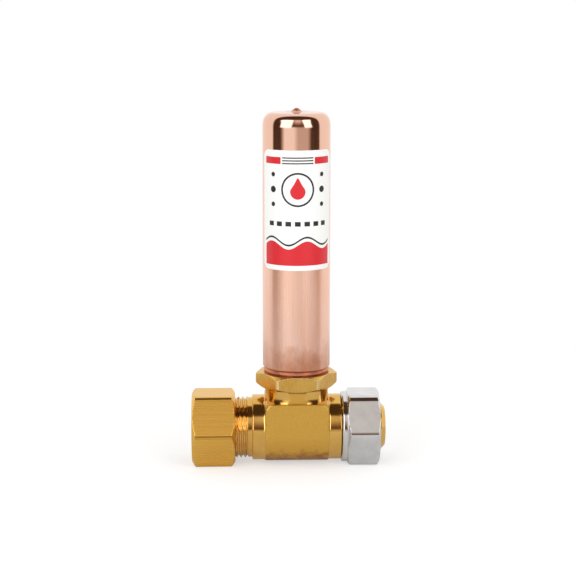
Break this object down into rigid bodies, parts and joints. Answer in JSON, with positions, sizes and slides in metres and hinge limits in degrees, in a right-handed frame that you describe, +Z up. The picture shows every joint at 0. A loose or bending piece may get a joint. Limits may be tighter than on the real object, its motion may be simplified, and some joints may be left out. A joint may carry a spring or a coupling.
{
  "type": "water hammer arrestor",
  "caption": "Sealed copper cylinder with a sliding piston on a brass compression tee, which takes the shock out of a water pipe when a valve shuts.",
  "frame": {"origin": "on the surface that the part stands on, under the middle of its box", "axes": "+X along the run from the pipe's end to the stub, +Z up along the cylinder, -Y towards the label"},
  "size_m": [0.0644, 0.0274, 0.1182],
  "materials": {
    "copper": "drawn copper, satin, bright at the closed top",
    "label_film": "white printed film",
    "acetal": "moulded acetal",
    "rubber": "black seal rubber",
    "forged_brass": "tumbled forging with turned ends",
    "turned_brass": "turned and drawn hexagon bar",
    "chrome_plate": "bright plate on brass"
  },
  "bodies": {
    "arrestor": {"cylinder": "copper", "label": "label_film", "hex_adapter": "turned_brass", "adapter_seal": "rubber", "tee_body": "forged_brass"},
    "piston": {"piston": "acetal", "piston_seal_upper": "rubber", "piston_seal_lower": "rubber"},
    "pipe_sleeve": {"pipe_sleeve": "turned_brass"},
    "pipe_nut": {"pipe_nut": "turned_brass"},
    "valve_sleeve": {"valve_sleeve": "turned_brass"},
    "valve_nut": {"valve_nut": "chrome_plate"}
  },
  "joints": [
    {"name": "piston_slide", "type": "slide", "parent": "arrestor", "child": "piston", "axis": [0, 0, 1], "range_m": [0, 0.042], "stiffness_N_per_m": 300},
    {"name": "pipe_sleeve_slide", "type": "slide", "parent": "arrestor", "child": "pipe_sleeve", "axis": [-1, 0, 0], "range_m": [0, 0.00494]},
    {"name": "pipe_nut_turn", "type": "hinge", "parent": "pipe_sleeve", "child": "pipe_nut", "pos_m": [-0.0249, 0, 0.0119], "axis": [-1, 0, 0], "range_deg": [0, 1260]},
    {"name": "valve_sleeve_slide", "type": "slide", "parent": "arrestor", "child": "valve_sleeve", "axis": [1, 0, 0], "range_m": [0, 0.016]},
    {"name": "valve_nut_spin", "type": "hinge", "parent": "valve_sleeve", "child": "valve_nut", "pos_m": [0.0239, 0, 0.0119], "axis": [1, 0, 0], "continuous": true}
  ],
  "couplings": [
    {"joint": "pipe_sleeve_slide", "follows": "pipe_nut_turn", "m_per_rad": 0.00022457}
  ]
}
